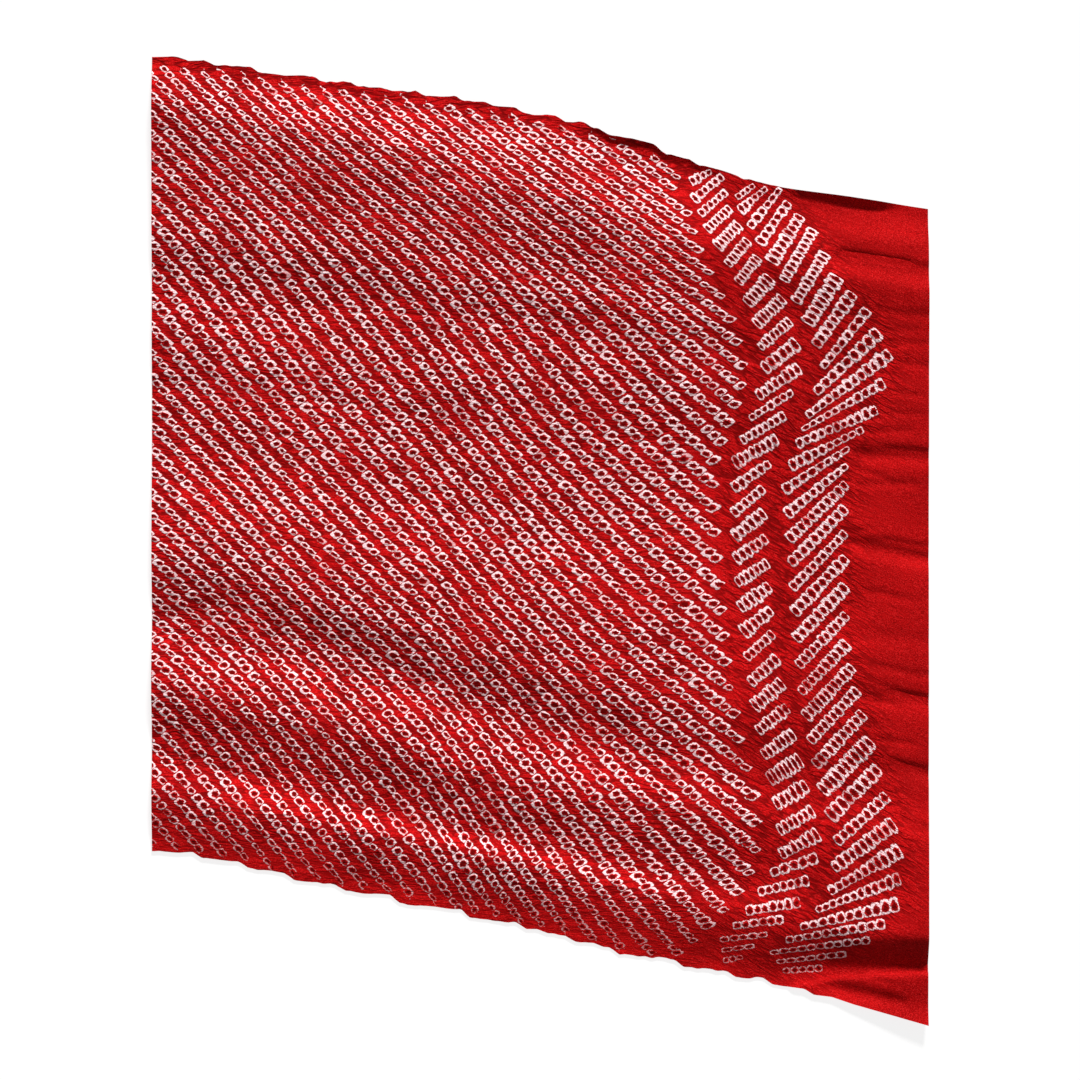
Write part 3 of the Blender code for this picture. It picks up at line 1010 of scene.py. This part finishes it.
def dyed_crepe():
    """Red crepe with white rings."""
    material = bpy.data.materials.new("dyed_crepe")
    material.use_nodes = True
    tree = material.node_tree
    shader = tree.nodes["Principled BSDF"]
    place = add_node(tree, "TexCoord", {}).outputs["Object"]
    sides = add_node(tree, "SeparateXYZ", {"Vector": place}).outputs
    chart = add_node(tree, "UVMap", {}, uv_map="rows").outputs[0]
    chart = add_node(tree, "SeparateXYZ", {"Vector": chart}).outputs
    sockets = {"Vector": place, "Scale": ROUGHENING_SCALE, "Detail": 3.0, "Roughness": 0.6}
    rough = add_node(tree, "TexNoise", sockets).outputs["Color"]
    for operation, term in (("SUBTRACT", (0.5, 0.5, 0.5)), ("MULTIPLY", ROUGHENING)):
        rough = add_node(tree, "VectorMath", {0: rough, 1: term}, operation=operation).outputs[0]

    def stored_value(name):
        return add_node(tree, "Attribute", {}, attribute_name=name).outputs["Fac"]

    tied_here = stored_value("tied")
    pinched_here = stored_value("pinched")
    dots_node = add_node(tree, "Group", {}, node_tree=tied_dots)
    givens = {
        "Along Row": chart["X"], "Off Row": chart["Y"], "Row Number": stored_value("row_number"),
        "Dots In Row": stored_value("dots_in_row"), "White Wall": stored_value("white_wall"),
        "Tied": tied_here, "Roughening": rough,
        "Lean": ramp(tree, sides["Y"], -0.10, 0.0, 0.14, 0.20),
    }
    for name, value in givens.items():
        plug(tree, value, dots_node.inputs[name])
    crepe_node = add_node(tree, "Group", {}, node_tree=crepe)
    plug(tree, place, crepe_node.inputs["Place"])
    in_border = ramp(tree, sides["X"], BORDER_FROM * MM, BORDER_FULL_FROM * MM)
    plug(tree, in_border, crepe_node.inputs["In Border"])

    depth = calc(tree, "MULTIPLY", pinched_here, calc(tree, "MULTIPLY_ADD", tied_here, 0.5, 0.5))
    creases = calc(tree, "MULTIPLY", crepe_node.outputs["Creases"], depth)
    red = blend_colours(tree, ramp(tree, crepe_node.outputs["Dye"], 0.3, 0.7), DEEP_RED, BRIGHT_RED)
    # Painted highlight: the grain's peaks are lightened towards GLINT_RED as glints.
    glint = ramp(tree, crepe_node.outputs["Grain"], 0.52, 0.72, 0.0, 0.38)
    red = blend_colours(tree, glint, red, GLINT_RED)
    grain = ramp(tree, crepe_node.outputs["Grain"], 0.30, 0.62, GRAIN_SHADE, 0.0)
    plain = calc(tree, "MULTIPLY", calc(tree, "SUBTRACT", 1.0, pinched_here), PLAIN_SHADE)
    # Painted shade: the red darkens towards SHADE_RED in the creases, round each dot and in its
    # pit.
    lines = calc(tree, "MAXIMUM", creases, dots_node.outputs["Outline Shade"])
    shade = calc(tree, "MAXIMUM", calc(tree, "MULTIPLY", lines, CREASE_SHADE), grain)
    pits = calc(tree, "MULTIPLY", dots_node.outputs["Pit"], PIT_SHADE)
    shade = calc(tree, "MAXIMUM", shade, pits)
    shade = calc(tree, "MINIMUM", calc(tree, "ADD", shade, plain), 1.0)
    red = blend_colours(tree, shade, red, SHADE_RED)
    tint = ramp(tree, crepe_node.outputs["Grain"], 0.32, 0.56)
    ring_colour = blend_colours(tree, tint, RING_PINK, RING_WHITE)
    # Painted shade: the white rings darken towards RING_SHADE where creases cross them.
    in_crease = calc(tree, "MULTIPLY", creases, RING_CREASE_SHADE)
    ring_colour = blend_colours(tree, in_crease, ring_colour, RING_SHADE)
    dyed = blend_colours(tree, dots_node.outputs["White"], red, ring_colour)
    plug(tree, dyed, shader.inputs["Base Color"])

    dot_relief = calc(tree, "MULTIPLY", tied_here, DOT_RELIEF)
    height = calc(tree, "MULTIPLY", dots_node.outputs["Height"], dot_relief)
    height = calc(tree, "MULTIPLY_ADD", creases, -CREASE_RELIEF, height)
    height = calc(tree, "MULTIPLY_ADD", crepe_node.outputs["Grain"], GRAIN_RELIEF, height)
    sockets = {"Strength": 1.0, "Distance": MM, "Height": height}
    plug(tree, add_node(tree, "Bump", sockets).outputs[0], shader.inputs["Normal"])
    shader.inputs["Roughness"].default_value = 0.78
    shader.inputs["Specular IOR Level"].default_value = 0.03
    return material


cloth = bpy.data.objects.new("kanoko_cloth", cloth_mesh)
bpy.context.scene.collection.objects.link(cloth)
cloth_mesh.materials.append(dyed_crepe())
print("cloth triangles:", sum(len(face.vertices) - 2 for face in cloth_mesh.polygons))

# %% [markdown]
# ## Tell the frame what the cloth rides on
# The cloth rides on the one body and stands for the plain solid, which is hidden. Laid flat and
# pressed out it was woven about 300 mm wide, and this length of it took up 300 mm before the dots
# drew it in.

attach(cloth, "root")
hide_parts(CLOTH)
print("declared:", cloth.name)

# %% [markdown]
# ## Floor, light and camera
# The cloth lies on a plain white surface, and one soft light comes low from beyond its top
# edge, which is what brings the folds and dots out. The camera looks straight down from well
# above, so that the raised folds don't lean outwards and the two cuts stay straight.

# %% Set the stage
FLOOR_SIZE = 4.0
FLOOR_DROP = 0.0003
FLOOR_GREY = (0.16, 0.16, 0.16, 1.0)
FLOOR_LIGHTER_GREY = (0.18, 0.18, 0.18, 1.0)
FLOOR_GLOW = 0.84


def studio_floor():
    """A plain near-white surface."""
    plane = bmesh.new()
    bmesh.ops.create_grid(plane, x_segments=1, y_segments=1, size=FLOOR_SIZE / 2)
    bmesh.ops.translate(plane, verts=plane.verts, vec=(0, 0, -FLOOR_DROP))
    mesh = bpy.data.meshes.new("studio_floor")
    plane.to_mesh(mesh)
    plane.free()
    floor = bpy.data.objects.new("studio_floor", mesh)
    bpy.context.scene.collection.objects.link(floor)
    material = bpy.data.materials.new("pale_floor")
    material.use_nodes = True
    tree = material.node_tree
    shader = tree.nodes["Principled BSDF"]
    place = add_node(tree, "TexCoord", {}).outputs["Object"]
    noise = add_node(tree, "TexNoise", {"Vector": place, "Scale": 8.0}).outputs[0]
    pale = blend_colours(tree, noise, FLOOR_GREY, FLOOR_LIGHTER_GREY)
    plug(tree, pale, shader.inputs["Base Color"])
    shader.inputs["Roughness"].default_value = 0.9
    shader.inputs["Specular IOR Level"].default_value = 0.1
    shader.inputs["Emission Color"].default_value = (1.0, 1.0, 1.0, 1.0)
    shader.inputs["Emission Strength"].default_value = FLOOR_GLOW
    mesh.materials.append(material)
    return floor


studio_floor()

# %% Light it and look straight down
LIGHT_AZIMUTH = np.radians(80.0)
LIGHT_ELEVATION = np.radians(34.0)
LIGHT_POWER = 4.6
LIGHT_WIDTH = 0.16
ROOM_LIGHT = 0.235
PHOTO_WIDTH = 0.378
SENSOR_WIDTH = 36.0
CAMERA_HEIGHT = 2.40
CLOTH_LEVEL = 0.004

lamp = bpy.data.lights.new("low_window", "SUN")
lamp.energy = LIGHT_POWER
lamp.angle = LIGHT_WIDTH
lamp.color = (1.0, 0.985, 0.97)
light = bpy.data.objects.new("low_window", lamp)
towards = Vector((
    np.cos(LIGHT_ELEVATION) * np.cos(LIGHT_AZIMUTH),
    np.cos(LIGHT_ELEVATION) * np.sin(LIGHT_AZIMUTH),
    np.sin(LIGHT_ELEVATION),
))
light.rotation_euler = towards.to_track_quat("Z", "Y").to_euler()
bpy.context.scene.collection.objects.link(light)

world = bpy.data.worlds.new("pale_room")
world.use_nodes = True
backdrop = world.node_tree.nodes["Background"]
backdrop.inputs["Color"].default_value = (0.97, 0.98, 1.0, 1.0)
backdrop.inputs["Strength"].default_value = ROOM_LIGHT
bpy.context.scene.world = world

lens = bpy.data.cameras.new("straight_down")
lens.sensor_width = SENSOR_WIDTH
lens.lens = SENSOR_WIDTH * (CAMERA_HEIGHT - CLOTH_LEVEL) / PHOTO_WIDTH
camera = bpy.data.objects.new("straight_down", lens)
camera.location = (0.0, 0.0, CAMERA_HEIGHT)
bpy.context.scene.collection.objects.link(camera)
bpy.context.scene.camera = camera
bpy.context.scene.view_settings.view_transform = "Standard"
print("lens, mm:", round(lens.lens, 1))
